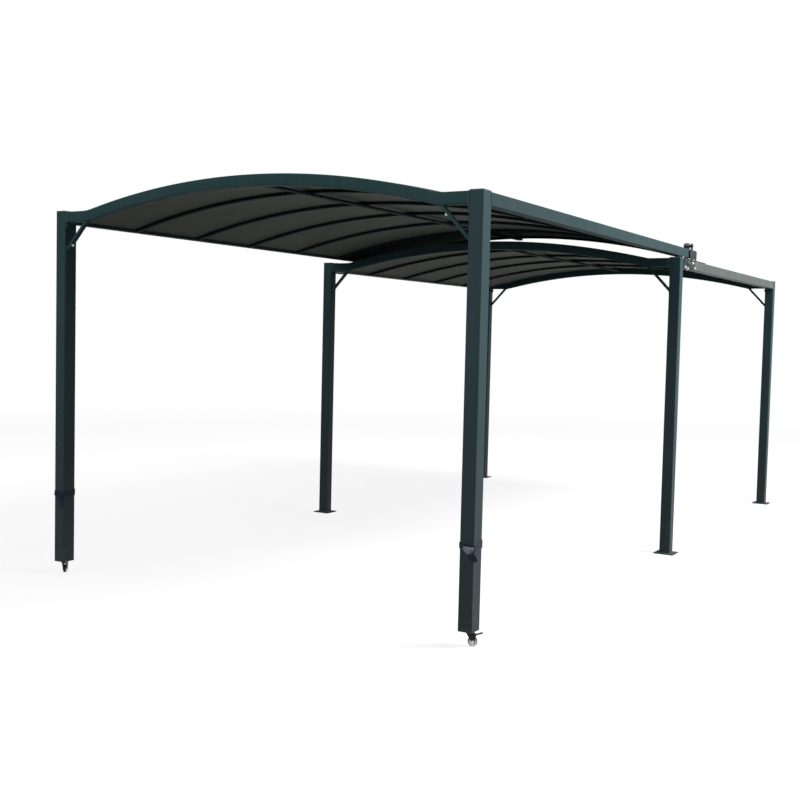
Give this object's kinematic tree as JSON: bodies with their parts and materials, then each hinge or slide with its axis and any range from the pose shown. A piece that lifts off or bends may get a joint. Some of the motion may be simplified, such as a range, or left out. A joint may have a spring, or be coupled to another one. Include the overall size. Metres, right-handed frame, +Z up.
{
  "type": "telescopic canopy",
  "caption": "Arched open-sided canopy: a castered front section slides on rollers over a fixed rear section on bolted posts.",
  "frame": {"origin": "centre of the overall box at ground level, canopy extended", "axes": "+Y along the slide from the castered front to the fixed rear, +X to the right seen from the front, +Z up"},
  "size_m": [3.24, 6.4314, 2.4618],
  "materials": {
    "frame_paint": "satin powder coat",
    "roof_sheet": "matt",
    "bracket_steel": "satin",
    "roller_plastic": "matt nylon",
    "wheel_rubber": "grey tread",
    "caster_metal": "black",
    "tie_fabric": "thin woven strap",
    "cap_plastic": "matt"
  },
  "bodies": {
    "fixed_frame": {"base_plate_front_left": "frame_paint", "base_plate_front_right": "frame_paint", "base_plate_rear_left": "frame_paint", "base_plate_rear_right": "frame_paint", "fixed_front_arch": "frame_paint", "fixed_front_knee_braces": "frame_paint", "fixed_post_caps": "cap_plastic", "fixed_post_front_left": "frame_paint", "fixed_post_front_right": "frame_paint", "fixed_post_rear_left": "frame_paint", "fixed_post_rear_right": "frame_paint", "fixed_rear_arch": "frame_paint", "fixed_rear_knee_braces": "frame_paint", "fixed_rib_1": "frame_paint", "fixed_rib_2": "frame_paint", "fixed_rib_3": "frame_paint", "fixed_rib_4": "frame_paint", "fixed_ridge_bar": "frame_paint", "fixed_roof_sheet": "roof_sheet", "fixed_side_beam_left": "frame_paint", "fixed_side_beam_right": "frame_paint", "roller_bracket_left": "bracket_steel", "roller_bracket_right": "bracket_steel"},
    "sliding_frame": {"caster_sockets": "cap_plastic", "post_tie_left": "tie_fabric", "post_tie_right": "tie_fabric", "sliding_beam_end_caps": "cap_plastic", "sliding_front_arch": "frame_paint", "sliding_knee_braces": "frame_paint", "sliding_post_caps": "cap_plastic", "sliding_post_left": "frame_paint", "sliding_post_right": "frame_paint", "sliding_rib_1": "frame_paint", "sliding_rib_2": "frame_paint", "sliding_rib_3": "frame_paint", "sliding_rib_4": "frame_paint", "sliding_rib_5": "frame_paint", "sliding_rib_6": "frame_paint", "sliding_ridge_bar": "frame_paint", "sliding_roof_sheet": "roof_sheet", "sliding_side_beam_left": "frame_paint", "sliding_side_beam_right": "frame_paint"},
    "upper_roller_left": {"upper_roller_left": "roller_plastic"},
    "lower_roller_left": {"lower_roller_left": "roller_plastic"},
    "caster_fork_left": {"caster_fork_left": "caster_metal"},
    "caster_wheel_left": {"caster_wheel_left": "wheel_rubber"},
    "brake_pedal_left": {"brake_pedal_left": "caster_metal"},
    "upper_roller_right": {"upper_roller_right": "roller_plastic"},
    "lower_roller_right": {"lower_roller_right": "roller_plastic"},
    "caster_fork_right": {"caster_fork_right": "caster_metal"},
    "caster_wheel_right": {"caster_wheel_right": "wheel_rubber"},
    "brake_pedal_right": {"brake_pedal_right": "caster_metal"}
  },
  "joints": [
    {"name": "canopy_slide", "type": "slide", "parent": "fixed_frame", "child": "sliding_frame", "axis": [0, 1, 0], "range_m": [0, 2.98]},
    {"name": "upper_roller_spin_left", "type": "hinge", "parent": "fixed_frame", "child": "upper_roller_left", "pos_m": [-1.47, 0.46465, 2.3323], "axis": [1, 0, 0], "continuous": true},
    {"name": "lower_roller_spin_left", "type": "hinge", "parent": "fixed_frame", "child": "lower_roller_left", "pos_m": [-1.47, 0.46465, 2.2117], "axis": [1, 0, 0], "continuous": true},
    {"name": "caster_swivel_left", "type": "hinge", "parent": "sliding_frame", "child": "caster_fork_left", "pos_m": [-1.46, -3.14785, 0.079], "axis": [0, 0, 1], "continuous": true},
    {"name": "caster_wheel_spin_left", "type": "hinge", "parent": "caster_fork_left", "child": "caster_wheel_left", "pos_m": [-1.471, -3.1288, 0.025], "axis": [-0.866, -0.5, 0], "continuous": true},
    {"name": "brake_pedal_tilt_left", "type": "hinge", "parent": "caster_fork_left", "child": "brake_pedal_left", "pos_m": [-1.477, -3.11841, 0.058], "axis": [-0.866, -0.5, 0], "range_deg": [0, 18]},
    {"name": "upper_roller_spin_right", "type": "hinge", "parent": "fixed_frame", "child": "upper_roller_right", "pos_m": [1.47, 0.46465, 2.3323], "axis": [1, 0, 0], "continuous": true},
    {"name": "lower_roller_spin_right", "type": "hinge", "parent": "fixed_frame", "child": "lower_roller_right", "pos_m": [1.47, 0.46465, 2.2117], "axis": [1, 0, 0], "continuous": true},
    {"name": "caster_swivel_right", "type": "hinge", "parent": "sliding_frame", "child": "caster_fork_right", "pos_m": [1.46, -3.14785, 0.079], "axis": [0, 0, 1], "continuous": true},
    {"name": "caster_wheel_spin_right", "type": "hinge", "parent": "caster_fork_right", "child": "caster_wheel_right", "pos_m": [1.47905, -3.13685, 0.025], "axis": [-0.5, 0.866, 0], "continuous": true},
    {"name": "brake_pedal_tilt_right", "type": "hinge", "parent": "caster_fork_right", "child": "brake_pedal_right", "pos_m": [1.48944, -3.13085, 0.058], "axis": [-0.5, 0.866, 0], "range_deg": [0, 18]}
  ]
}
